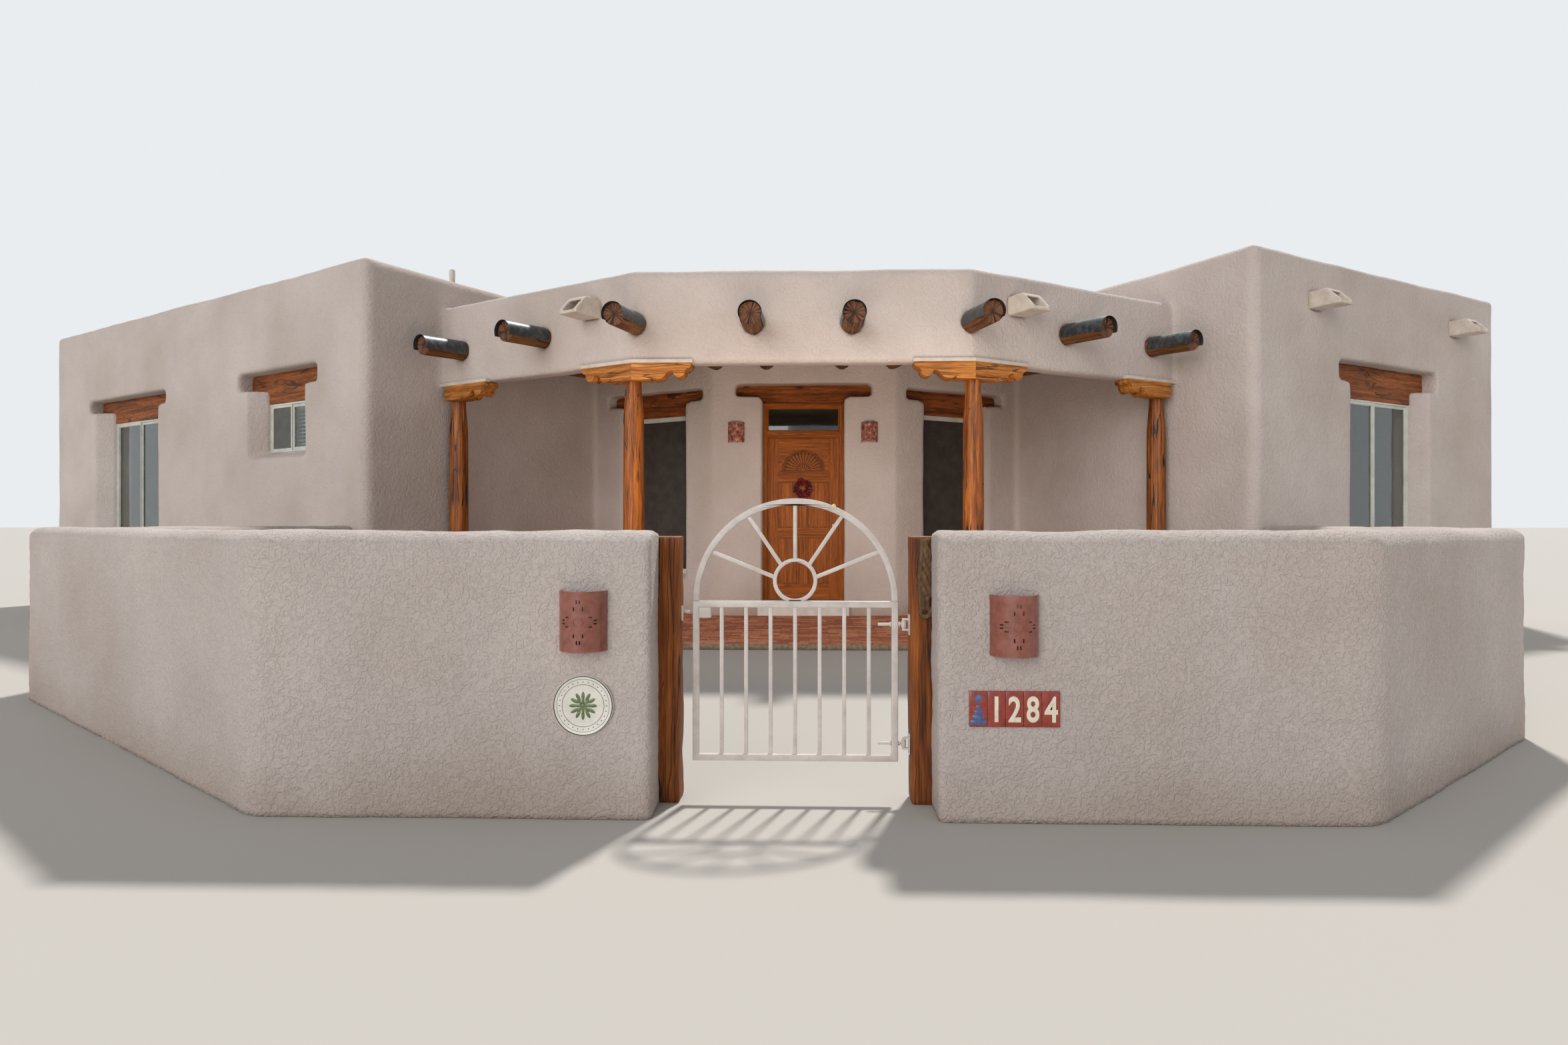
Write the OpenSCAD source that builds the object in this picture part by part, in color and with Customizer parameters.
// Single-storey adobe house with a faceted log porch and a walled front court.
// Heights are measured from the ground. X runs to the right along the house's
// front, Y runs into the house from the face of the porch's middle bay.

/* [Plan] */
// Half width of the porch's middle bay, out to the bend of its front
centre_half = 1630; // [1450:10:1960]
// Length of each slanted side bay of the porch
side_bay = 2850; // [2400:10:3450]
// Angle that the side bays and both wings turn back by
wing_angle = 30; // [26:1:33]
// Distance that each wing's front steps forward of the side bays
wing_step = 940; // [700:10:1200]
// Length of the left wing's front
left_wing = 7780; // [6900:10:9400]
// Length of the right wing's front
right_wing = 4940; // [4100:10:6000]
// Depth of the porch's side bays, square to their front
porch_depth = 2450; // [2050:10:2950]
// How much further back than the side bays' walls the front door's wall stands
door_wall_back = 100; // [0:5:200]
// Distance from the porch's front to the rear wall
rear_y = 9500; // [8300:10:11400]
// Thickness of the outer walls
wall_t = 380; // [340:5:420]

/* [Heights] */
// Thickness of the brick floor of the porch
paver_t = 60; // [40:5:80]
// Top of the left wing's parapet
left_top = 4010; // [3860:10:4400]
// Top of the right wing's parapet
right_top = 4060; // [3860:10:4400]
// Top of the parapet between the wings
centre_top = 4020; // [3860:10:4400]
// Top of the main roof
roof_z = 3530; // [3510:5:3600]
// Thickness of the main roof
roof_t = 180; // [120:5:200]
// Top of the floor indoors
floor_z = 230; // [180:5:260]
// Top of the porch's parapet
porch_top = 3660; // [3600:10:3800]
// Underside of the porch's front
beam_z = 2750; // [2700:5:2800]
// Thickness of the porch's front
beam_t = 200; // [180:5:260]
// Radius of the soft upper edges of the walls
soft = 90; // [40:5:120]
// Radius of the soft upright corners of the walls
soft_corner = 110; // [50:5:160]
// Thickness of the porch's roof
deck_t = 90; // [60:5:110]

/* [Logs] */
// Diameter of each roof log
log_d = 210; // [170:5:230]
// Height of a roof log's axis where it leaves the porch's front
log_z = 3130; // [3100:5:3150]
// Distance that the logs stand out from the porch's front
log_out = 485; // [350:5:600]
// Rise of the logs towards the house, in percent
log_rise = 4; // [2:0.5:5]
// Half distance between the two middle logs
log_middle = 470; // [380:5:560]
// Turn of the logs at the porch's bends
log_turn = 11.5; // [8:0.5:13]
// Distance of the first side log from the bend
log_side_1 = 1230; // [1100:5:1300]
// Distance of the second side log from the bend
log_side_2 = 2510; // [2150:5:2600]
// Thickness of the metal cap on each log
cap_t = 4; // [3:1:8]
// Distance that a cap reaches past the log's end
cap_over = 45; // [20:5:70]
// Part of the log's round that a cap covers, in degrees
cap_wrap = 230; // [180:5:260]

/* [Posts and corbels] */
// Radius of a post at its thickest
post_r = 100; // [90:1:115]
// Radius of a post at its top
post_neck_r = 76; // [60:1:85]
// Length of a post's tapered neck
post_neck = 420; // [200:10:600]
// Distance of the inner posts outwards from the bend
post_out = 15; // [0:5:40]
// Distance of the posts' axes behind the porch's face
post_back = 110; // [100:5:130]
// Distance of each outer post from the wing's wall
post_wall_gap = 154; // [125:1:190]
// Height of a corbel
corbel_h = 163; // [145:1:180]
// Width of a corbel from front to back
corbel_w = 190; // [160:5:220]
// Length of an inner corbel's arm from the post's axis
corbel_arm = 580; // [500:5:650]
// Length of an outer corbel's arm from the post's axis
outer_arm = 610; // [500:5:650]
// Length of an outer corbel's plain end from the post's axis
corbel_end = 60; // [40:5:90]
// Radius of the round nose at a corbel's tip
nose_r = 60; // [50:1:66]
// Radius of the scallop behind the nose
belly_r = 92; // [84:1:100]
// Distance that the corbels stand out from the porch's face
corbel_proud = 35; // [20:5:50]
// Height of the capping on the corbel's front
corbel_cap = 36; // [20:2:50]

/* [Front door] */
// Distance of the doorway's middle from the house's axis
door_x = -10; // [-30:5:30]
// Width of the doorway in the wall
doorway_w = 1020; // [960:5:1060]
// Top of the door frame
door_head = 2730; // [2690:5:2740]
// Underside of the lintel's ends
door_shoulder = 2795; // [2770:5:2830]
// Top of the door's lintel
door_lintel_top = 2960; // [2900:5:3000]
// Length of the door's lintel
door_lintel_w = 1709; // [1500:1:1800]
// Depth of the door frame behind the wall's face
door_set = 150; // [120:5:170]
// Distance of the door leaf behind the frame's face
leaf_set = 40; // [30:1:50]
// Width of the door frame's side pieces
jamb_w = 46; // [40:1:60]
// Top of the door leaf
leaf_top = 2300; // [2250:5:2330]
// Thickness of the door leaf
leaf_t = 45; // [40:1:50]
// Clearance round the door leaf
leaf_gap = 7; // [6:0.5:9]
// Width of the door leaf's outer uprights
stile_w = 130; // [110:5:140]
// Width of the upright between the door leaf's panels
mullion_w = 100; // [80:5:120]
// Underside of the door leaf's lower panels
low_panel_z = 440; // [400:5:470]
// Underside of the door leaf's upper panels
high_panel_z = 1155; // [1120:5:1180]
// Height of each of the door leaf's panels
panel_h = 585; // [500:5:610]
// Underside of the door leaf's fan
fan_z = 1876; // [1840:2:1900]
// Height of the door's knob
knob_z = 1180; // [1100:5:1250]
// Height of the door's lock
lock_z = 1435; // [1350:5:1500]
// Top of the door step
step_z = 235; // [185:5:265]
// Distance that the door step stands out from the wall
step_out = 60; // [30:5:100]
// Height of the bar between the door and the window over it
transom_h = 78; // [60:1:90]

/* [Windows] */
// Distance of the small window's middle from the wing's corner
small_at = 1705; // [1400:5:2100]
// Width of the small window's frame
small_w = 900; // [800:5:1000]
// Width of the small window's splayed opening
small_mouth = 1210; // [1100:5:1300]
// Bottom of the small window's frame
small_sill = 2040; // [1900:5:2100]
// Top of the small window's frame
small_head = 2620; // [2560:5:2640]
// Length of the small window's lintel
small_lintel_w = 1654; // [1550:1:1750]
// Top of the small window's lintel
small_lintel_top = 2980; // [2920:5:3020]
// Distance of the left wing's large window from the wing's corner
left_large_at = 5495; // [4800:5:5600]
// Width of the left large window's splayed opening
left_large_mouth = 1890; // [1700:5:1950]
// Length of the left large window's lintel
left_large_lintel_w = 2290; // [2150:5:2350]
// Top of the left large window's lintel
left_large_top = 2955; // [2930:5:3030]
// Distance of the right wing's large window from the wing's corner
right_large_at = 2525; // [2200:5:2800]
// Width of the right large window's splayed opening
right_large_mouth = 1650; // [1600:5:1900]
// Length of the right large window's lintel
right_large_lintel_w = 2050; // [1950:5:2200]
// Top of the right large window's lintel
right_large_top = 3015; // [2930:5:3030]
// Width of the large windows' frames
large_w = 1470; // [1300:5:1560]
// Bottom of the large windows' frames
large_sill = 560; // [480:5:700]
// Top of the large windows' frames
large_head = 2635; // [2600:5:2660]
// Distance of the porch windows' middle from the bend of the porch's back wall
porch_window_at = 965; // [900:5:1000]
// Width of the porch windows' frames
porch_window_w = 900; // [800:5:960]
// Width of the porch windows' splayed openings
porch_mouth = 1070; // [1000:5:1150]
// Top of the porch windows' frames
porch_window_head = 2610; // [2580:5:2650]
// Length of the porch windows' lintels
porch_lintel_w = 1590; // [1400:5:1650]
// Top of the porch windows' lintels
porch_lintel_top = 2920; // [2880:5:2980]
// Distance from a window's frame up to the shoulders of its lintel
shoulder_up = 155; // [130:5:170]
// Depth of the lintels' faces behind the wall's face
lintel_set = 170; // [120:5:190]
// Depth of the window frames' faces behind the lintels' faces
frame_set = 15; // [8:1:40]
// Radius of the soft shoulders under the lintels
shoulder_r = 70; // [20:5:80]
// Width of the window frames' bars
bar_w = 50; // [40:1:60]
// Depth of the window frames from front to back
frame_t = 60; // [50:1:70]
// Thickness of the glass
glass_t = 6; // [4:1:12]
// Fall of the sills towards the outside
sill_fall = 80; // [40:5:90]

/* [Roof spouts] */
// Width of a roof spout
spout_w = 235; // [200:5:270]
// Height of a roof spout
spout_h = 180; // [160:5:200]
// Distance that a roof spout stands out from the wall
spout_out = 310; // [270:5:380]
// Thickness of a roof spout's sides and floor
spout_t = 35; // [30:1:45]
// Height of a roof spout's front lip
spout_lip = 40; // [30:5:60]
// Distance in front of the wall that a roof spout is covered
spout_cover = 175; // [120:5:200]
// Underside of the porch's spouts
porch_spout_z = 3243; // [3235:1:3260]
// Distance of the porch's spouts from the bend
porch_spout_at = 560; // [480:5:700]
// Distance of the first wing spout from the right wing's corner
wing_spout_1 = 1060; // [800:5:1300]
// Distance of the second wing spout from the right wing's corner
wing_spout_2 = 3940; // [3200:5:4000]
// Number of spouts on the rear wall
rear_spouts = 3; // [1:1:3]
// Diameter of the vent pipe on the left wing's roof
vent_d = 70; // [50:5:110]
// Height of the vent pipe above the roof
vent_h = 880; // [600:10:900]

/* [Court] */
// Height of the court's wall
court_h = 1185; // [1000:5:1400]
// Thickness of the court's wall
court_t = 300; // [260:5:340]
// Radius of the court wall's soft upper edges
court_soft = 85; // [40:5:110]
// Radius of the court walls' arrises beside the gate
court_end_r = 28; // [15:1:60]
// Distance of the court wall's face in front of the porch
court_front = 4760; // [4400:10:5200]
// Distance of the left bend from the house's axis
court_left_bend = 2270; // [1900:10:2600]
// Distance of the right bend from the house's axis
court_right_bend = 2350; // [1900:10:2600]
// Length of the slanted wall on the left
court_left_run = 3920; // [3300:10:4400]
// Length of the slanted wall on the right
court_right_run = 2300; // [1900:10:2700]
// Angle that the left wall turns back by
court_left_turn = 37; // [33:1:42]
// Angle that the right wall turns back by
court_right_turn = 40; // [35:1:43]
// Distance from a wing's corner to where the court's wall meets it
court_meet = 520; // [500:10:900]

/* [Gate] */
// Half width of the gap between the gate posts
gate_gap_half = 502; // [480:1:540]
// Height of the point above the gate's rail that its spokes run out from
spoke_up = 68; // [50:1:80]
// Angle between two of the gate's spokes
spoke_step = 34; // [28:1:36]
// Side of each square gate post
gate_post_w = 140; // [120:5:160]
// Height of the gate posts
gate_post_h = 1160; // [1050:5:1300]
// Distance of the gate posts' face behind the court wall's face
gate_post_back = 220; // [150:5:240]
// Distance of the gate's underside above the brick floor
gate_lift = 110; // [60:5:140]
// Top of the gate's middle rail above the brick floor
gate_rail = 814; // [700:2:900]
// Outer width of the gate
gate_w = 904; // [860:2:930]
// Thickness of the gate's frame tube
gate_tube = 28; // [22:1:34]
// Thickness of the gate's bars
gate_bar = 17; // [12:1:20]
// Number of upright bars in the gate
gate_bars = 7; // [5:1:9]
// Number of spokes in the gate's arch
gate_spokes = 5; // [3:2:7]
// Outer radius of the ring in the gate's arch
gate_ring_r = 98; // [70:1:120]
// Diameter of the gate's hinge pins
gate_pin_d = 14; // [10:1:16]
// Clearance between the gate's hinge pins and eyes
pin_gap = 0.5; // [0.3:0.1:1]

/* [Lamps and signs] */
// Width of a court wall lamp
lamp_w = 200; // [160:5:240]
// Height of a court wall lamp
lamp_h = 245; // [200:5:280]
// Depth of a court wall lamp
lamp_d = 90; // [70:5:100]
// Width of a door lamp
door_lamp_w = 210; // [160:5:240]
// Height of a door lamp
door_lamp_h = 260; // [200:5:300]
// Thickness of the lamps' shells
shell_t = 9; // [6:1:14]
// Diameter of the round plaque
plaque_d = 250; // [200:5:300]
// Width of one number tile
tile_w = 73; // [60:1:80]
// Height of a number tile
tile_h = 145; // [120:1:160]
// Number of tiles in the row
tile_count = 5; // [3:1:6]
// Thickness of the plaque and tiles
sign_t = 12; // [8:1:18]

/* [Hidden] */

$fn = 48;
far = 30000;
eps = 1;
seat = 0.3;

stucco = "wheat";
timber = "peru";
dark_timber = "saddlebrown";
metal = "dimgray";
white_paint = "snow";
clay = "indianred";

// Plan of the rooms
left_end = side_bay + left_wing;
right_end = side_bay + right_wing;
door_wall_y = porch_depth + door_wall_back;
back_bend = (door_wall_y - porch_depth * cos(wing_angle)) / sin(wing_angle);
mitre = tan(wing_angle / 2);

// A point of the plan, from its place in a side bay: side -1 is left, 1 is right
function bay_point(side, x, y) = [
    side * (centre_half + x * cos(wing_angle) - y * sin(wing_angle)),
    x * sin(wing_angle) + y * cos(wing_angle)
];
// The place across a side bay at which a line of constant x reaches the depth y_world
function bay_depth(x, y_world) = (y_world - x * sin(wing_angle)) / cos(wing_angle);
function end_of(side) = side < 0 ? left_end : right_end;
function top_of(side) = side < 0 ? left_top : right_top;

// A side bay's own frame: x along its front from the bend, y into the house
module bay(side) {
    mirror([side < 0 ? 1 : 0, 0, 0])
        translate([centre_half, 0, 0])
            rotate(wing_angle)
                children();
}

module both_sides() {
    for (side = [-1, 1])
        bay(side)
            children();
}

module plan_slab(points, low, high) {
    translate([0, 0, low])
        linear_extrude(high - low)
            polygon(points);
}

// Windows
// Each is [kind, side, x, y, frame width, mouth width, sill, head, lintel length,
// lintel top, panes]
function window(kind, side, x, y, size) = concat([kind, side, x, y], size);
small = [small_w, small_mouth, small_sill, small_head, small_lintel_w, small_lintel_top, 2];
left_large = [large_w, left_large_mouth, large_sill, large_head, left_large_lintel_w,
    left_large_top, 2];
right_large = [large_w, right_large_mouth, large_sill, large_head, right_large_lintel_w,
    right_large_top, 2];
tall = [porch_window_w, porch_mouth, large_sill, porch_window_head, porch_lintel_w,
    porch_lintel_top, 1];

left_windows = [
    window("bay", -1, side_bay + small_at, -wing_step, small),
    window("bay", -1, side_bay + left_large_at, -wing_step, left_large)
];
right_windows = [window("bay", 1, side_bay + right_large_at, -wing_step, right_large)];
left_porch_windows = [window("bay", -1, back_bend + porch_window_at, porch_depth, tall)];
right_porch_windows = [window("bay", 1, back_bend + porch_window_at, porch_depth, tall)];
front_windows = concat(left_windows, right_windows, left_porch_windows, right_porch_windows);

// The rear wall repeats the large window, and each end wall the small one
function rear_corner(side) = bay_point(side, end_of(side), bay_depth(end_of(side), rear_y));
function end_middle(side) = (bay_depth(end_of(side), rear_y) - wing_step) / 2;
rear_low = rear_corner(-1)[0];
rear_pitch = (rear_corner(1)[0] - rear_low) / 4;
left_end_windows = [window("end", -1, left_end, end_middle(-1), small)];
right_end_windows = [window("end", 1, right_end, end_middle(1), small)];
rear_windows = [for (k = [0:3])
    window("rear", 1, rear_low + rear_pitch * (k + 0.5), rear_y, right_large)];
hidden_windows = concat(left_end_windows, right_end_windows, rear_windows);

function win_w(w) = w[4];
function win_mouth(w) = w[5];
function win_sill(w) = w[6];
function win_head(w) = w[7];
function win_lintel_w(w) = w[8];
function win_top(w) = w[9];
function win_panes(w) = w[10];
function win_shoulder(w) = win_head(w) + shoulder_up;

// A window's own frame: x along the wall, y into it from its outer face
module at_window(w) {
    if (w[0] == "bay") {
        bay(w[1])
            translate([w[2], w[3], 0])
                children();
    } else if (w[0] == "end") {
        bay(w[1])
            translate([w[2], w[3], 0])
                rotate(90)
                    children();
    } else {
        translate([w[2], w[3], 0])
            rotate(180)
                children();
    }
}

// A flat shape of the elevation, drawn as x and z, given the thickness from y to y + t
module upright(y, t) {
    translate([0, y + t, 0])
        rotate([90, 0, 0])
            linear_extrude(t)
                children();
}

// The corner that a soft shoulder takes off the wall beside an opening
module shoulder_corner(side) {
    translate([side * shoulder_r, -shoulder_r])
        difference() {
            translate([side > 0 ? -shoulder_r - eps : 0, 0])
                square([shoulder_r + eps, shoulder_r + eps]);
            circle(shoulder_r);
        }
}

// The splayed hole with a sloping sill, and the wide slot for its lintel
module window_cut(w) {
    top = win_shoulder(w) + eps;
    intersection() {
        linear_extrude(top)
            polygon([
                [-win_mouth(w) / 2, -eps],
                [win_mouth(w) / 2, -eps],
                [win_w(w) / 2, lintel_set],
                [win_w(w) / 2, wall_t + eps],
                [-win_w(w) / 2, wall_t + eps],
                [-win_w(w) / 2, lintel_set]
            ]);
        translate([-win_mouth(w) / 2, 0, 0])
            rotate([90, 0, 90])
                linear_extrude(win_mouth(w))
                    polygon([
                        [-eps, win_sill(w) - sill_fall],
                        [lintel_set + frame_set, win_sill(w)],
                        [wall_t + eps, win_sill(w)],
                        [wall_t + eps, top],
                        [-eps, top]
                    ]);
    }
    upright(-eps, wall_t + 2 * eps)
        translate([-win_lintel_w(w) / 2, win_shoulder(w)])
            square([win_lintel_w(w), win_top(w) - win_shoulder(w)]);
    upright(-eps, lintel_set + eps)
        for (side = [-1, 1])
            translate([side * win_mouth(w) / 2, win_shoulder(w)])
                shoulder_corner(side);
}

// A timber lintel: a beam on the wall's shoulders with a dropped middle
module lintel(w, head, shoulder, lintel_w, top) {
    upright(lintel_set, wall_t - lintel_set) {
        translate([-lintel_w / 2, shoulder])
            square([lintel_w, top - shoulder]);
        translate([-w / 2, head])
            square([w, shoulder - head + eps]);
    }
}

module window_lintel(w) {
    lintel(win_w(w), win_head(w), win_shoulder(w), win_lintel_w(w), win_top(w));
}

function pane_w(w) = (win_w(w) - bar_w * (win_panes(w) + 1)) / win_panes(w);
function pane_x(w, k) = -win_w(w) / 2 + bar_w + k * (pane_w(w) + bar_w);

module window_frame(w) {
    upright(lintel_set + frame_set, frame_t)
        difference() {
            translate([-win_w(w) / 2, win_sill(w)])
                square([win_w(w), win_head(w) - win_sill(w)]);
            for (k = [0:win_panes(w) - 1])
                translate([pane_x(w, k), win_sill(w) + bar_w])
                    square([pane_w(w), win_head(w) - win_sill(w) - 2 * bar_w]);
        }
}

module window_glass(w) {
    for (k = [0:win_panes(w) - 1])
        upright(lintel_set + frame_set + (frame_t - glass_t) / 2, glass_t)
            translate([pane_x(w, k), win_sill(w) + bar_w])
                square([pane_w(w), win_head(w) - win_sill(w) - 2 * bar_w]);
}

// Walls
// A wall's section: x is the depth from its outer face, y is up
module wall_section(t, h) {
    square([t, h - soft]);
    translate([soft, 0])
        square([t - soft, h]);
    translate([soft, h - soft])
        circle(soft);
}

module wall_run(length, t, h) {
    rotate([90, 0, 90])
        linear_extrude(length)
            wall_section(t, h);
}

// The plan of a wall whose two outer corners are soft
module soft_plan(length, t) {
    translate([0, soft_corner])
        square([length, t - soft_corner]);
    translate([soft_corner, 0])
        square([length - 2 * soft_corner, t]);
    for (x = [soft_corner, length - soft_corner])
        translate([x, soft_corner])
            circle(soft_corner);
}

// The elevation of a wall with soft upper ends: x along it, y up
module soft_elevation(length, h) {
    square([length, h - soft]);
    translate([soft, 0])
        square([length - 2 * soft, h]);
    for (x = [soft, length - soft])
        translate([x, h - soft])
            circle(soft);
}

module front_wall(side, length) {
    intersection() {
        bay(side)
            translate([side_bay, -wing_step, 0])
                wall_run(length, wall_t, top_of(side));
        bay(side)
            translate([side_bay, -wing_step, 0])
                linear_extrude(top_of(side))
                    soft_plan(length, wall_t);
        bay(side)
            translate([side_bay, -wing_step, 0])
                upright(0, wall_t)
                    soft_elevation(length, top_of(side));
    }
}

module left_front_wall() {
    color(stucco)
        difference() {
            front_wall(-1, left_wing);
            for (w = left_windows)
                at_window(w)
                    window_cut(w);
        }
}

module right_front_wall() {
    color(stucco)
        difference() {
            front_wall(1, right_wing);
            for (w = right_windows)
                at_window(w)
                    window_cut(w);
            for (x = [wing_spout_1, wing_spout_2])
                bay(1)
                    translate([side_bay + x, -wing_step, wing_spout_z])
                        spout_hole(wall_t);
        }
}

// The wall between a wing and the porch, with its outer face towards the porch
module inner_wall(side) {
    color(stucco)
        bay(side)
            translate([side_bay, porch_depth + wall_t, 0])
                rotate(-90)
                    wall_run(porch_depth + wing_step, wall_t, top_of(side));
}

module left_inner_wall() {
    inner_wall(-1);
}

module right_inner_wall() {
    inner_wall(1);
}

// The slanted wall at the back of the porch, cut to meet the door's wall
module porch_wall(side, windows) {
    color(stucco)
        difference() {
            intersection() {
                bay(side)
                    translate([back_bend, porch_depth, 0])
                        wall_run(side_bay - back_bend, wall_t, centre_top);
                bay(side)
                    linear_extrude(centre_top)
                        polygon([
                            [back_bend + seat, porch_depth],
                            [side_bay, porch_depth],
                            [side_bay, porch_depth + wall_t],
                            [back_bend + seat + wall_t * mitre, porch_depth + wall_t]
                        ]);
            }
            for (w = windows)
                at_window(w)
                    window_cut(w);
        }
}

module left_porch_wall() {
    porch_wall(-1, left_porch_windows);
}

module right_porch_wall() {
    porch_wall(1, right_porch_windows);
}

bend_x = bay_point(1, back_bend, porch_depth)[0];
doorway_left = door_x - doorway_w / 2;
doorway_right = door_x + doorway_w / 2;

module door_wall_side(side) {
    opening = side < 0 ? -doorway_left : doorway_right;
    lintel_end = door_lintel_w / 2 + side * door_x;
    color(stucco)
        mirror([side < 0 ? 1 : 0, 0, 0])
            difference() {
                plan_slab([
                    [opening, door_wall_y],
                    [bend_x, door_wall_y],
                    [bend_x - wall_t * mitre, door_wall_y + wall_t],
                    [opening, door_wall_y + wall_t]
                ], 0, door_lintel_top);
                translate([opening - eps, door_wall_y - eps, door_shoulder])
                    cube([lintel_end - opening + eps, wall_t + 2 * eps, far]);
                translate([opening + shoulder_r, 0, door_shoulder - shoulder_r])
                    upright(door_wall_y - eps, wall_t + 2 * eps)
                        difference() {
                            translate([-shoulder_r - eps, 0])
                                square(shoulder_r + eps);
                            circle(shoulder_r);
                        }
            }
}

module door_wall_left() {
    door_wall_side(-1);
}

module door_wall_right() {
    door_wall_side(1);
}

module door_wall_head() {
    color(stucco)
        intersection() {
            translate([-bend_x, door_wall_y, 0])
                wall_run(2 * bend_x, wall_t, centre_top);
            plan_slab([
                [-bend_x, door_wall_y],
                [bend_x, door_wall_y],
                [bend_x - wall_t * mitre, door_wall_y + wall_t],
                [-bend_x + wall_t * mitre, door_wall_y + wall_t]
            ], door_lintel_top, centre_top);
        }
}

// A wing's end wall runs back from its front wall to the rear wall
module end_wall(side, windows) {
    x = end_of(side);
    y_start = wall_t - wing_step;
    inside_y = rear_y - wall_t;
    color(stucco)
        difference() {
            intersection() {
                bay(side)
                    translate([x, y_start, 0])
                        rotate(90)
                            wall_run(far / 2, wall_t, top_of(side));
                bay(side)
                    linear_extrude(top_of(side))
                        polygon([
                            [x - wall_t, y_start],
                            [x, y_start],
                            [x, bay_depth(x, inside_y - seat)],
                            [x - wall_t, bay_depth(x - wall_t, inside_y - seat)]
                        ]);
            }
            for (w = windows)
                at_window(w)
                    window_cut(w);
        }
}

module left_end_wall() {
    end_wall(-1, left_end_windows);
}

module right_end_wall() {
    end_wall(1, right_end_windows);
}

rear_spout_x = [for (k = [1:rear_spouts]) rear_low + rear_pitch * (k + (3 - rear_spouts) / 2)];

module rear_wall() {
    inside_y = rear_y - wall_t;
    color(stucco)
        difference() {
            intersection() {
                translate([rear_corner(1)[0] + wall_t, rear_y, 0])
                    rotate(180)
                        wall_run(rear_corner(1)[0] - rear_low + 2 * wall_t, wall_t, centre_top);
                plan_slab([
                    rear_corner(-1),
                    bay_point(-1, left_end, bay_depth(left_end, inside_y)),
                    bay_point(1, right_end, bay_depth(right_end, inside_y)),
                    rear_corner(1)
                ], 0, centre_top);
            }
            for (w = rear_windows)
                at_window(w)
                    window_cut(w);
            for (x = rear_spout_x)
                translate([x, rear_y, wing_spout_z])
                    rotate(180)
                        spout_hole(wall_t);
        }
}

// The rooms' outline inside the walls, in three parts that meet at two lines
inner_y = porch_depth + wall_t + seat;
rear_in = rear_y - wall_t - seat;
room_split = side_bay + wall_t;
wing_start = room_split + seat;
room_front = wall_t - wing_step + seat;

function room_end(side) = end_of(side) - wall_t - seat;
function wing_room(side) = [
    bay_point(side, wing_start, room_front),
    bay_point(side, room_end(side), room_front),
    bay_point(side, room_end(side), bay_depth(room_end(side), rear_in)),
    bay_point(side, wing_start, bay_depth(wing_start, rear_in))
];
centre_room = [
    [-bend_x + (wall_t + seat) * mitre, door_wall_y + wall_t + seat],
    [bend_x - (wall_t + seat) * mitre, door_wall_y + wall_t + seat],
    bay_point(1, room_split, inner_y),
    bay_point(1, room_split, bay_depth(room_split, rear_in)),
    bay_point(-1, room_split, bay_depth(room_split, rear_in)),
    bay_point(-1, room_split, inner_y)
];

module room_roof(points) {
    color(stucco)
        plan_slab(points, roof_z - roof_t, roof_z);
}

module left_roof() {
    room_roof(wing_room(-1));
}

module centre_roof() {
    room_roof(centre_room);
}

module right_roof() {
    room_roof(wing_room(1));
}

module house_floor() {
    color(clay)
        for (points = [wing_room(-1), centre_room, wing_room(1)])
            plan_slab(points, 0, floor_z);
}

// Porch
// The porch's outline: front line, then the back of the porch
porch_lip = 150;
porch_outline = [
    bay_point(-1, side_bay, -porch_lip),
    bay_point(-1, -porch_lip * mitre, -porch_lip),
    bay_point(1, -porch_lip * mitre, -porch_lip),
    bay_point(1, side_bay, -porch_lip),
    bay_point(1, side_bay, porch_depth),
    [bend_x, door_wall_y],
    [-bend_x, door_wall_y],
    bay_point(-1, side_bay, porch_depth)
];

module porch_floor() {
    color(clay)
        plan_slab(porch_outline, 0, paver_t);
}

// The front of one bay: a deep stuccoed band with soft edges, logs pass through it
module beam_section() {
    lower = 40;
    h = porch_top - beam_z;
    translate([0, lower])
        square([beam_t, h - soft - lower]);
    translate([soft, 0])
        square([beam_t - soft, h]);
    translate([lower, 0])
        square([beam_t - lower, lower + eps]);
    translate([lower, lower])
        circle(lower);
    translate([soft, h - soft])
        circle(soft);
}

module beam_run(length) {
    translate([0, 0, beam_z])
        rotate([90, 0, 90])
            linear_extrude(length)
                beam_section();
}

module side_porch_front(side) {
    color(stucco)
        difference() {
            bay(side)
                intersection() {
                    beam_run(side_bay);
                    linear_extrude(porch_top)
                        polygon([
                            [0, 0],
                            [side_bay, 0],
                            [side_bay, beam_t],
                            [beam_t * mitre, beam_t]
                        ]);
                }
            bay(side)
                translate([porch_spout_at, 0, porch_spout_z])
                    spout_hole(beam_t);
            bay(side)
                for (x = [log_side_1, log_side_2])
                    translate([x, 0, 0])
                        log_solid(log_d + 2 * seat);
            bend_log(side, log_d + 2 * seat);
        }
}

module left_porch_front() {
    side_porch_front(-1);
}

module right_porch_front() {
    side_porch_front(1);
}

module middle_porch_front() {
    inside_half = centre_half - beam_t * mitre;
    color(stucco)
        difference() {
            intersection() {
                translate([-centre_half, 0, 0])
                    beam_run(2 * centre_half);
                linear_extrude(porch_top)
                    polygon([
                        [-centre_half, 0],
                        [centre_half, 0],
                        [inside_half, beam_t],
                        [-inside_half, beam_t]
                    ]);
            }
            for (side = [-1, 1]) {
                translate([side * log_middle, 0, 0])
                    log_solid(log_d + 2 * seat);
                bend_log(side, log_d + 2 * seat);
            }
        }
}

// Logs
log_slope = atan(log_rise / 100);
log_length = porch_depth + 2 * log_out + 900;

// A log square to its bay, rising into the house from its end in front of the porch
module log_solid(d) {
    translate([0, 0, log_z])
        rotate([log_slope - 90, 0, 0])
            translate([0, 0, -log_out])
                cylinder(h = log_length, d = d);
}

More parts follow.
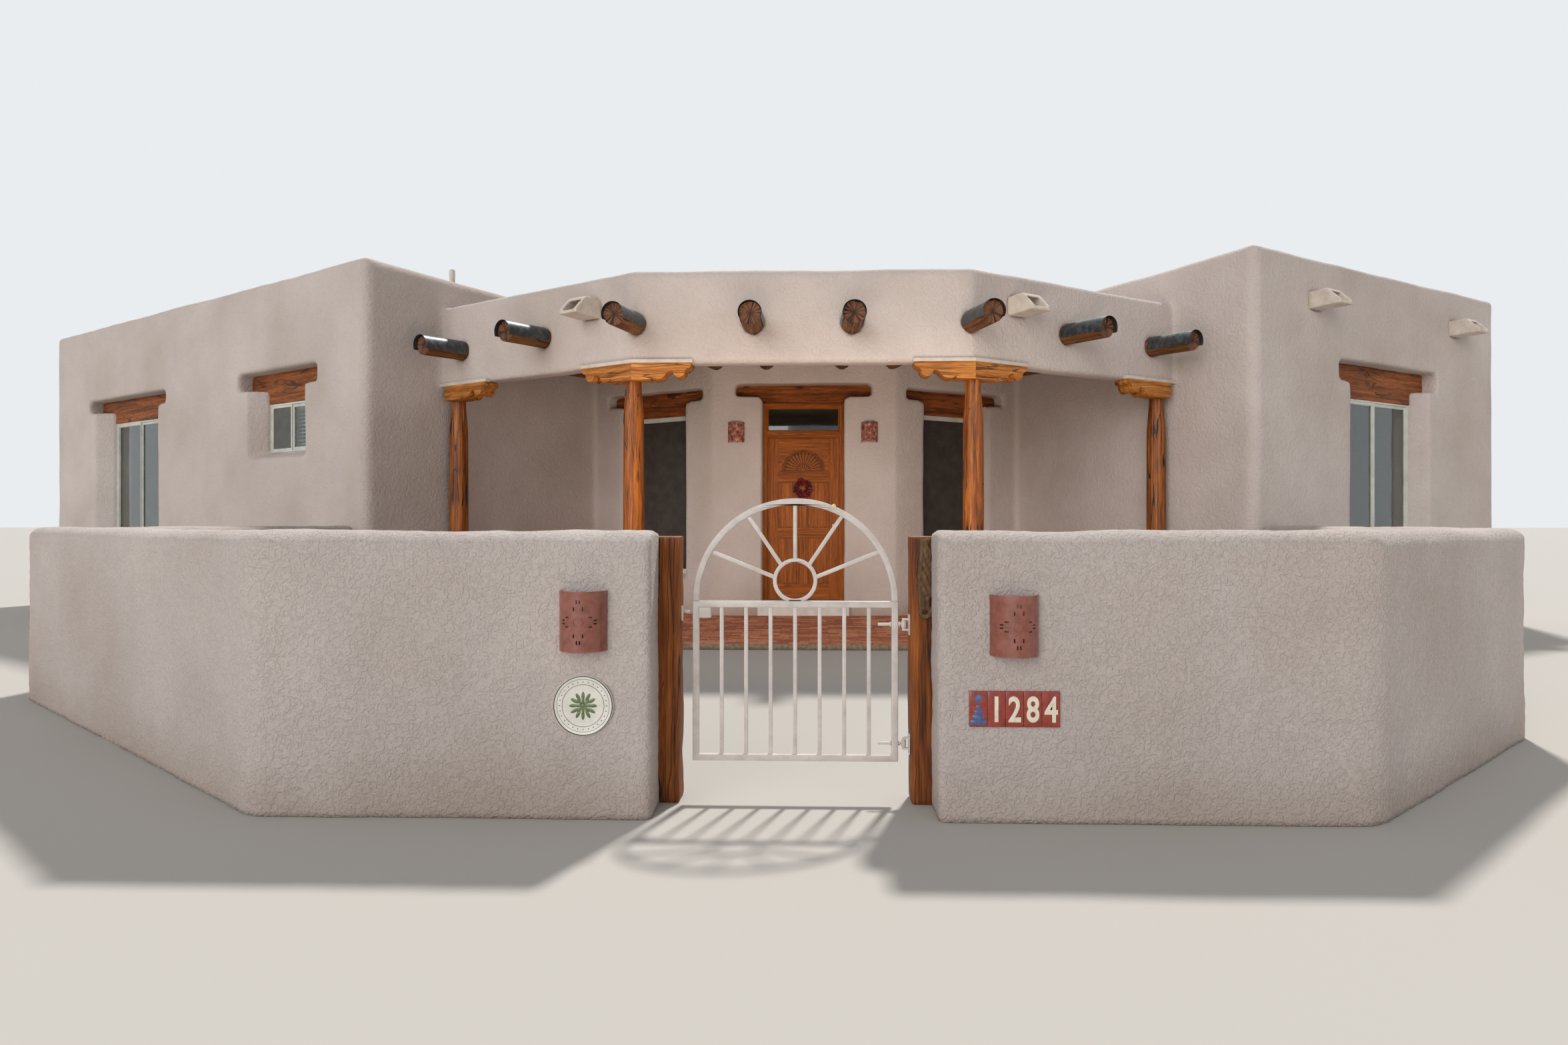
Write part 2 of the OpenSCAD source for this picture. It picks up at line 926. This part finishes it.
// The log at a bend turns halfway and rises a little less, to stay under both decks
module bend_log(side, d) {
    translate([side * (centre_half - 20), 0, log_z])
        rotate(side * log_turn)
            rotate([log_slope * cos(wing_angle - log_turn) - 90, 0, 0])
                translate([0, 0, -log_out])
                    cylinder(h = log_length, d = d);
}

// Everything behind the porch's back walls
module behind_porch() {
    plan_slab([
        [-bend_x, door_wall_y - seat],
        [bend_x, door_wall_y - seat],
        bay_point(1, side_bay, porch_depth - seat),
        [far, far],
        [-far, far],
        bay_point(-1, side_bay, porch_depth - seat)
    ], 0, far);
}

module roof_logs() {
    color(timber)
        difference() {
            for (side = [-1, 1]) {
                bend_log(side, log_d);
                translate([side * log_middle, 0, 0])
                    log_solid(log_d);
                bay(side)
                    for (x = [log_side_1, log_side_2])
                        translate([x, 0, 0])
                            log_solid(log_d);
            }
            behind_porch();
        }
}

// A half-round metal cover over the outer end of a log
module log_cap() {
    outer = log_d / 2 + seat + cap_t;
    length = log_out + cap_over - 12;
    rotate([0, 0, 90 - cap_wrap / 2])
        rotate_extrude(angle = cap_wrap)
            translate([outer - cap_t, 0])
                square([cap_t, length]);
}

module placed_caps(slope) {
    translate([0, 0, log_z])
        rotate([slope - 90, 0, 0])
            translate([0, 0, -log_out - cap_over])
                rotate(180)
                    log_cap();
}

module log_caps() {
    color(metal)
        for (side = [-1, 1]) {
            translate([side * (centre_half - 20), 0, 0])
                rotate(side * log_turn)
                    placed_caps(log_slope * cos(wing_angle - log_turn));
            translate([side * log_middle, 0, 0])
                placed_caps(log_slope);
            bay(side)
                for (x = [log_side_1, log_side_2])
                    translate([x, 0, 0])
                        placed_caps(log_slope);
        }
}

// The porch's deck lies on the logs and rises with them
deck_low = log_z + log_d / 2 / cos(log_slope) + seat;

module deck_run(y_end, length) {
    rise = log_rise / 100;
    rotate([90, 0, 90])
        linear_extrude(length)
            polygon([
                [beam_t, deck_low + beam_t * rise],
                [y_end, deck_low + y_end * rise],
                [y_end, deck_low + y_end * rise + deck_t],
                [beam_t, deck_low + beam_t * rise + deck_t]
            ]);
}

module porch_roof() {
    color(stucco) {
        intersection() {
            translate([-centre_half, 0, 0])
                deck_run(door_wall_y, 2 * centre_half);
            plan_slab([
                [-centre_half + seat, 0],
                [centre_half - seat, 0],
                [centre_half - seat - door_wall_y * mitre, door_wall_y],
                [-centre_half + seat + door_wall_y * mitre, door_wall_y]
            ], 0, porch_top);
        }
        for (side = [-1, 1])
            difference() {
                bay(side)
                    intersection() {
                        deck_run(porch_depth + wall_t, side_bay);
                        plan_slab([
                            [0, 0],
                            [side_bay, 0],
                            [side_bay, porch_depth + wall_t],
                            [(porch_depth + wall_t) * mitre, porch_depth + wall_t]
                        ], 0, porch_top);
                    }
                bay(side)
                    translate([porch_spout_at, 0, porch_spout_z])
                        spout_hole(beam_t + spout_well);
                plan_slab([
                    [-bend_x, door_wall_y],
                    [bend_x, door_wall_y],
                    bay_point(1, side_bay + eps, porch_depth),
                    [far, far],
                    [-far, far],
                    bay_point(-1, side_bay + eps, porch_depth)
                ], 0, far);
            }
    }
}

// Posts and corbels
inner_post = [centre_half + post_out, post_back];
bend_post_x = post_out * cos(wing_angle) + post_back * sin(wing_angle);
outer_post_x = side_bay - post_wall_gap;
post_top = beam_z - corbel_h;

module post() {
    translate([0, 0, paver_t])
        rotate_extrude()
            polygon([
                [0, 0],
                [post_r - 4, 0],
                [post_r, (post_top - paver_t) / 3],
                [post_r, post_top - paver_t - post_neck],
                [post_neck_r, post_top - paver_t],
                [0, post_top - paver_t]
            ]);
}

module posts() {
    color(timber)
        for (side = [-1, 1]) {
            translate([side * inner_post[0], inner_post[1], 0])
                post();
            bay(side)
                translate([outer_post_x, post_back, 0])
                    post();
        }
}

// The side view of a corbel's arm: x runs from its post, y is down from its top. A round
// nose hangs below its stepped tip, and an ogee runs from there into a shallow scallop
module scallops(arm) {
    start = -corbel_w * mitre;
    nose_x = arm - 118;
    belly_x = arm - 330;
    hollow_r = 70;
    intersection() {
        translate([start, 0])
            square([arm - start, corbel_h]);
        union() {
            translate([start, 0]) {
                square([arm - start, 40]);
                square([arm - start - 22, 56]);
                square([arm - start - 58, 80]);
                square([belly_x - start - 66, corbel_h]);
            }
            translate([nose_x, 80])
                circle(nose_r);
            translate([belly_x, corbel_h - belly_r])
                circle(belly_r);
            difference() {
                translate([belly_x, 0])
                    square([nose_x - nose_r - belly_x, corbel_h - belly_r / 2]);
                translate([nose_x - 70, corbel_h - 12])
                    circle(hollow_r);
            }
        }
    }
}

// One arm along +x, hung from the underside of the porch's front, with its capping
module corbel_solid(arm) {
    start = -corbel_w * mitre;
    translate([0, -corbel_proud, beam_z])
        rotate([-90, 0, 0])
            linear_extrude(corbel_w)
                scallops(arm);
    translate([start, -corbel_proud, beam_z - eps])
        cube([arm + 15 - start, corbel_proud - seat, corbel_cap + eps]);
}

// The side of the plane in which the two arms of a bent corbel meet
module corbel_half(keep) {
    translate([inner_post[0], inner_post[1], 0])
        rotate(wing_angle / 2)
            translate([keep > 0 ? 0 : -far, -far / 2, 0])
                cube([far, far, far]);
}

module corbels() {
    color(timber)
        for (side = [-1, 1]) {
            mirror([side < 0 ? 1 : 0, 0, 0]) {
                intersection() {
                    translate([inner_post[0], 0, 0])
                        mirror([1, 0, 0])
                            corbel_solid(corbel_arm);
                    corbel_half(-1);
                }
                intersection() {
                    bay(1)
                        translate([bend_post_x, 0, 0])
                            corbel_solid(corbel_arm);
                    corbel_half(1);
                }
            }
            bay(side)
                outer_corbel();
        }
}

// The outer corbel has one scalloped arm and a plain end; its capping meets the wing
module outer_corbel() {
    translate([outer_post_x, 0, 0])
        mirror([1, 0, 0])
            corbel_solid(outer_arm);
    translate([outer_post_x, -corbel_proud, beam_z - corbel_h])
        cube([corbel_end, corbel_w, corbel_h]);
    translate([outer_post_x, -corbel_proud, beam_z - eps])
        cube([post_wall_gap, corbel_proud - seat, corbel_cap + eps]);
}

// Roof spouts
wing_spout_z = roof_z - spout_t;
spout_well = 150;

module spout_hole(t) {
    translate([-spout_w / 2, -eps, 0])
        cube([spout_w, t + eps, spout_h]);
}

// A square trough, covered near the wall and slanted down to a low lip in front; behind
// a thin wall it is open to the roof
module spout(t, well) {
    inner_w = spout_w - 2 * spout_t;
    difference() {
        translate([-spout_w / 2, 0, 0])
            rotate([90, 0, 90])
                linear_extrude(spout_w)
                    polygon([
                        [-spout_out, 0],
                        [t + well, 0],
                        [t + well, spout_h],
                        [-spout_cover, spout_h],
                        [-spout_out, spout_lip]
                    ]);
        translate([-inner_w / 2, -spout_out - eps, spout_t])
            cube([inner_w, spout_out + t + well + eps - (well > 0 ? spout_t : -eps),
                spout_h - 2 * spout_t]);
        if (well > 0)
            translate([-inner_w / 2, t, spout_t])
                cube([inner_w, well - spout_t, spout_h]);
    }
}

module roof_spouts() {
    color(stucco) {
        both_sides()
            translate([porch_spout_at, 0, porch_spout_z])
                spout(beam_t, spout_well);
        bay(1)
            for (x = [wing_spout_1, wing_spout_2])
                translate([side_bay + x, -wing_step, wing_spout_z])
                    spout(wall_t, 0);
        for (x = rear_spout_x)
            translate([x, rear_y, wing_spout_z])
                rotate(180)
                    spout(wall_t, 0);
    }
}

module vent_pipe() {
    color(white_paint)
        bay(-1)
            translate([side_bay + 860, 795, roof_z])
                difference() {
                    cylinder(h = vent_h, d = vent_d);
                    translate([0, 0, 5])
                        cylinder(h = vent_h, d = vent_d - 12);
                }
}

// Lintels, window frames and glass
module front_lintels() {
    color(dark_timber) {
        for (w = front_windows)
            at_window(w)
                window_lintel(w);
        translate([door_x, door_wall_y, 0])
            lintel(doorway_w, door_head, door_shoulder, door_lintel_w, door_lintel_top);
    }
}

module rear_lintels() {
    color(dark_timber)
        for (w = hidden_windows)
            at_window(w)
                window_lintel(w);
}

module front_window_frames() {
    color("gainsboro")
        for (w = front_windows)
            at_window(w)
                window_frame(w);
}

module rear_window_frames() {
    color("gainsboro")
        for (w = hidden_windows)
            at_window(w)
                window_frame(w);
}

module front_glass() {
    color("lightsteelblue")
        for (w = front_windows)
            at_window(w)
                window_glass(w);
}

module rear_glass() {
    color("lightsteelblue")
        for (w = hidden_windows)
            at_window(w)
                window_glass(w);
}

// Front door
frame_y = door_wall_y + door_set;
leaf_y = frame_y + leaf_set;
door_frame_t = leaf_set + leaf_t;
stop_w = 12;
leaf_w = doorway_w - 2 * jamb_w - 2 * leaf_gap;
leaf_left = doorway_left + jamb_w + leaf_gap;
transom_low = leaf_top + leaf_gap;
transom_glass_low = transom_low + transom_h;
frame_top_w = 60;

module door_frame() {
    color(dark_timber)
        difference() {
            translate([doorway_left, frame_y, step_z])
                cube([doorway_w, door_frame_t, door_head - step_z]);
            translate([doorway_left + jamb_w + stop_w, frame_y - eps, step_z - eps])
                cube([doorway_w - 2 * jamb_w - 2 * stop_w, door_frame_t + 2 * eps,
                    transom_low - step_z + eps - stop_w]);
            translate([doorway_left + jamb_w, leaf_y - leaf_gap, step_z - eps])
                cube([doorway_w - 2 * jamb_w, door_frame_t, transom_low - step_z + eps]);
            translate([doorway_left + frame_top_w, frame_y - eps, transom_glass_low])
                cube([doorway_w - 2 * frame_top_w, door_frame_t + 2 * eps,
                    door_head - frame_top_w - transom_glass_low]);
        }
}

module transom_glass() {
    color("lightsteelblue")
        translate([doorway_left + frame_top_w, leaf_y + 10, transom_glass_low])
            cube([doorway_w - 2 * frame_top_w, glass_t,
                door_head - frame_top_w - transom_glass_low]);
}

// The step stands in the doorway and a little in front of it
module door_step() {
    color(white_paint) {
        translate([doorway_left, door_wall_y, paver_t])
            cube([doorway_w, wall_t, step_z - paver_t]);
        translate([doorway_left - step_out, door_wall_y - step_out, paver_t])
            cube([doorway_w + 2 * step_out, step_out, step_z - paver_t - 45]);
    }
}

leaf_low = step_z + leaf_gap;
panel_t = 12;
panel_w = (leaf_w - 2 * stile_w - mullion_w) / 2;

// A panelled leaf: a fan over four raised panels
module door_leaf() {
    color(timber) {
        leaf_hinges();
        translate([leaf_left, leaf_y, leaf_low])
            difference() {
                cube([leaf_w, leaf_t, leaf_top - leaf_low]);
                for (z = [low_panel_z, high_panel_z])
                    for (k = [0, 1])
                        translate([stile_w + k * (panel_w + mullion_w), 0, z - leaf_low])
                            panel_groove(panel_w, panel_h);
                translate([leaf_w / 2, 0, fan_z - leaf_low])
                    fan_groove(leaf_w / 2 - stile_w - 42);
            }
    }
}

module panel_groove(w, h) {
    upright(-eps, panel_t + eps)
        difference() {
            square([w, h]);
            translate([28, 28])
                square([w - 56, h - 56]);
        }
}

module fan_groove(r) {
    upright(-eps, panel_t + eps)
        difference() {
            circle(r);
            circle(r - 22);
            translate([-r - eps, -2 * r])
                square([2 * r + 2 * eps, 2 * r]);
        }
}

// Handle and lock
handle_x = leaf_left + leaf_w - 62;

module door_handle() {
    color("gold")
        for (face = [0, 1])
            translate([handle_x, leaf_y + face * leaf_t, 0])
                mirror([0, face, 0])
                    rotate([90, 0, 0]) {
                        translate([0, knob_z, 0])
                            rotate_extrude()
                                polygon([
                                    [0, 0], [28, 0], [28, 6], [9, 10], [9, 32], [20, 36],
                                    [27, 46], [27, 58], [18, 66], [0, 68]
                                ]);
                        translate([0, lock_z, 0])
                            cylinder(h = 16, r = 26);
                    }
}

// Butt hinges: a fixed pin and middle knuckle, with the leaf's knuckles round the pin
hinge_heights = [480, 1270, 2080];
hinge_h = 100;
hinge_plate_t = 2.5;
hinge_plate_w = 40;
hinge_pin_r = 4;
hinge_knuckle_r = 8;
hinge_x = leaf_left - leaf_gap / 2;
hinge_y = leaf_y + leaf_t + 10;

module door_hinges() {
    color(metal)
        for (z = hinge_heights)
            translate([hinge_x, hinge_y, z]) {
                cylinder(h = hinge_h + 2, r = hinge_pin_r, center = true);
                cylinder(h = hinge_h / 3, r = hinge_knuckle_r, center = true);
                for (end = [-1, 1])
                    translate([0, 0, end * (hinge_h / 2 + 2.5)])
                        cylinder(h = 5, r = hinge_knuckle_r, center = true);
                translate([-leaf_gap / 2, -leaf_t, -hinge_h / 6])
                    cube([hinge_plate_t, leaf_t + 4, hinge_h / 3]);
                translate([-leaf_gap / 2, 0, -hinge_h / 6])
                    cube([leaf_gap / 2, 4, hinge_h / 3]);
            }
}

// The moving half of each hinge: a plate on the leaf and two knuckles round the pin
module leaf_hinges() {
    knuckle_h = hinge_h / 3 - 1;
    for (z = hinge_heights)
        for (end = [-1, 1])
            translate([hinge_x, hinge_y, z + end * hinge_h / 3])
                difference() {
                    union() {
                        cylinder(h = knuckle_h, r = hinge_knuckle_r, center = true);
                        translate([0, -10, -knuckle_h / 2])
                            cube([hinge_plate_w, hinge_plate_t, knuckle_h]);
                        translate([0, -10, -knuckle_h / 2])
                            cube([hinge_knuckle_r, 10, knuckle_h]);
                    }
                    cylinder(h = hinge_h, r = hinge_pin_r + 0.3, center = true);
                }
}

// Court walls
court_start = gate_gap_half + 88;
court_corner_r = 240;

// The wall's section: x from its outer face inwards, y up
module court_section() {
    square([court_t, court_h - court_soft]);
    translate([court_soft, 0])
        square([court_t - 2 * court_soft, court_h]);
    for (x = [court_soft, court_t - court_soft])
        translate([x, court_h - court_soft])
            circle(court_soft);
}

// The plan of one run with its outer face at y = 0: it is cut halfway through the bend
// at each end, and its outer corners are soft
module court_plan(length, turn_a, turn_b) {
    difference() {
        polygon([
            [0, 0],
            [length - seat, 0],
            [length - seat - court_t * tan(turn_b / 2), court_t],
            [court_t * tan(turn_a / 2), court_t]
        ]);
        if (turn_a > 0)
            mirror([1, 0, 0])
                court_corner(0, turn_a);
        if (turn_b > 0)
            court_corner(length, turn_b);
    }
}

module court_corner(x, turn) {
    cut = court_corner_r * tan(turn / 2);
    difference() {
        polygon([[x - cut, -eps], [x + eps, -eps], [x + eps, 0], [x - cut, court_corner_r]]);
        translate([x - cut, court_corner_r])
            circle(court_corner_r);
    }
}

module court_run(length, turn_a, turn_b) {
    intersection() {
        rotate([90, 0, 90])
            linear_extrude(length)
                court_section();
        linear_extrude(court_h)
            court_plan(length, turn_a, turn_b);
    }
}

// The first run has softened upright and upper arrises beside the gate
module court_end(length, turn_b) {
    intersection() {
        court_run(length, 0, turn_b);
        linear_extrude(court_h) {
            translate([court_end_r, 0])
                square([length - court_end_r, court_t]);
            translate([0, court_end_r])
                square([length, court_t - 2 * court_end_r]);
            for (y = [court_end_r, court_t - court_end_r])
                translate([court_end_r, y])
                    circle(court_end_r);
        }
        upright(0, court_t) {
            square([length, court_h - court_end_r]);
            translate([court_end_r, 0])
                square([length - court_end_r, court_h]);
            translate([court_end_r, court_h - court_end_r])
                circle(court_end_r);
        }
    }
}

// The whole wall of one side, from the gate to the wing, as a right-hand one
module court_wall(side, bend_at, run, turn) {
    corner = [bend_at + run * cos(turn), -court_front + run * sin(turn)];
    meet = bay_point(1, side_bay + court_meet, -wing_step);
    back = meet - corner;
    last_turn = atan2(back[1], back[0]) - turn;
    color(stucco)
        mirror([side < 0 ? 1 : 0, 0, 0])
            difference() {
                union() {
                    translate([court_start, -court_front, 0])
                        court_end(bend_at - court_start, turn);
                    translate([bend_at, -court_front, 0])
                        rotate(turn)
                            court_run(run, turn, last_turn);
                    translate([corner[0], corner[1], 0])
                        rotate(turn + last_turn)
                            court_run(norm(back) + court_t, last_turn, 0);
                }
                bay(1)
                    translate([0, -wing_step, -eps])
                        cube([far, far, far]);
                translate([gate_gap_half, gate_post_y, -eps])
                    cube([gate_post_w + seat, gate_post_w + seat, far]);
            }
}

module left_court_wall() {
    court_wall(-1, court_left_bend, court_left_run, court_left_turn);
}

module right_court_wall() {
    court_wall(1, court_right_bend, court_right_run, court_right_turn);
}

// Gate
gate_post_y = -court_front + gate_post_back;
gate_y = gate_post_y + gate_post_w / 2;
gate_low = paver_t + gate_lift;
gate_rail_z = paver_t + gate_rail;
gate_half = gate_w / 2;
hinge_axis_x = (gate_gap_half + gate_half) / 2;
gate_hinge_z = [gate_low + 80, gate_rail_z - 102];
gate_inner = gate_half - gate_tube;
bar_pitch = (2 * gate_inner + gate_bar) / (gate_bars + 1);
ring_up = gate_ring_r - gate_bar / 2;

module gate_posts() {
    color(timber)
        for (side = [-1, 1])
            translate([side * (gate_gap_half + gate_post_w / 2) - gate_post_w / 2,
                    gate_post_y, 0])
                cube([gate_post_w, gate_post_w, gate_post_h]);
}

// The gate's outline in elevation: uprights, rails, bars, arch, ring and spokes
module gate_outline() {
    tube = gate_tube;
    outer = gate_half;
    for (side = [-1, 1])
        translate([side * (outer - tube / 2) - tube / 2, gate_low])
            square([tube, gate_rail_z - gate_low]);
    for (z = [gate_low, gate_rail_z - tube])
        translate([-outer, z])
            square([2 * outer, tube]);
    for (k = [1:gate_bars])
        translate([-gate_inner - gate_bar + bar_pitch * k, gate_low])
            square([gate_bar, gate_rail_z - gate_low - eps]);
    translate([0, gate_rail_z]) {
        difference() {
            circle(outer);
            circle(outer - tube);
            below_rail();
        }
        difference() {
            union() {
                translate([0, ring_up])
                    circle(gate_ring_r);
                intersection() {
                    circle(gate_inner + 4);
                    for (k = [1:gate_spokes])
                        translate([0, spoke_up])
                            rotate((k - (gate_spokes + 1) / 2) * spoke_step)
                                translate([-gate_bar / 2, 0])
                                    square([gate_bar, gate_half]);
                }
            }
            translate([0, ring_up])
                circle(gate_ring_r - gate_bar);
        }
    }
}

module below_rail() {
    translate([-gate_half * 2, -gate_half * 2 - eps])
        square([gate_half * 4, gate_half * 2]);
}

module gate() {
    color(white_paint)
        difference() {
            union() {
                upright(gate_y - gate_tube / 2, gate_tube)
                    gate_outline();
                translate([-gate_inner - eps, gate_y - 22, gate_rail_z - gate_tube - 50])
                    cube([54, 44, 46]);
                translate([-gate_gap_half + 12, gate_y - 5, gate_rail_z - gate_tube - 34])
                    cube([gate_gap_half - gate_inner, 10, 14]);
                for (z = gate_hinge_z)
                    translate([gate_half - 88, gate_y, z])
                        rotate([0, 90, 0])
                            cylinder(h = hinge_axis_x - gate_half + 88, r = 7);
                for (z = gate_hinge_z)
                    translate([hinge_axis_x, gate_y, z])
                        cylinder(h = 28, r = gate_pin_d / 2 + pin_gap + 4.5, center = true);
            }
            for (z = gate_hinge_z)
                translate([hinge_axis_x, gate_y, z])
                    cylinder(h = 60, r = gate_pin_d / 2 + pin_gap, center = true);
        }
}

// A plate on the post carries each pin on two short arms
module gate_hinges() {
    pin_h = 28 + 2 * 5;
    color(white_paint) {
        for (z = gate_hinge_z) {
            translate([gate_gap_half - 4, gate_y - 25, z - 45])
                cube([4, 50, 90]);
            translate([hinge_axis_x, gate_y, z])
                cylinder(h = pin_h + 16, d = gate_pin_d, center = true);
            for (end = [-1, 1])
                translate([hinge_axis_x - gate_pin_d / 2, gate_y - gate_pin_d / 2,
                        z + end * (pin_h / 2 + 4) - 4])
                    cube([gate_gap_half - hinge_axis_x + gate_pin_d / 2, gate_pin_d, 8]);
        }
        translate([-gate_gap_half, gate_y - 20, gate_rail_z - gate_tube - 60])
            cube([4, 40, 64]);
    }
}

// Lamps
left_lamp = [-864, 819];
right_lamp = [891, 806];
door_lamp_x = [-848, 816];
door_lamp_z = 2346;

// A half-round shell, closed below, open above and against the wall
module half_shell(w, h, d) {
    translate([0, 0, -h / 2])
        difference() {
            shell_body(w, h, d, 0);
            translate([0, 0, shell_t])
                shell_body(w, h, d, shell_t);
        }
}

module shell_body(w, h, d, inset) {
    linear_extrude(h)
        intersection() {
            translate([0, w * w / 8 / d - d / 2])
                circle(w * w / 8 / d + d / 2 - inset);
            translate([-w / 2, -d - eps])
                square([w, d + eps]);
        }
}

module wall_lamps() {
    color(clay) {
        for (lamp = [left_lamp, right_lamp])
            translate([lamp[0], -court_front, lamp[1]])
                half_shell(lamp_w, lamp_h, lamp_d);
        for (x = door_lamp_x)
            translate([x, door_wall_y, door_lamp_z])
                half_shell(door_lamp_w, door_lamp_h, lamp_d);
    }
}

module plaque() {
    color(white_paint)
        translate([left_lamp[0], -court_front, 469])
            rotate([90, 0, 0])
                cylinder(h = sign_t, d = plaque_d);
}

module number_tiles() {
    color(clay)
        for (k = [0:tile_count - 1])
            translate([right_lamp[0] + (k - tile_count / 2) * tile_w, -court_front - sign_t,
                    466 - tile_h / 2])
                cube([tile_w - 1.5, sign_t, tile_h]);
}

left_front_wall();
right_front_wall();
left_inner_wall();
right_inner_wall();
left_porch_wall();
right_porch_wall();
door_wall_left();
door_wall_right();
door_wall_head();
left_end_wall();
right_end_wall();
rear_wall();
left_roof();
centre_roof();
right_roof();
house_floor();
porch_floor();
porch_roof();
left_porch_front();
middle_porch_front();
right_porch_front();
roof_logs();
log_caps();
posts();
corbels();
roof_spouts();
vent_pipe();
front_lintels();
rear_lintels();
front_window_frames();
rear_window_frames();
front_glass();
rear_glass();
door_frame();
door_step();
door_leaf();
door_handle();
door_hinges();
transom_glass();
left_court_wall();
right_court_wall();
gate_posts();
gate();
gate_hinges();
wall_lamps();
plaque();
number_tiles();
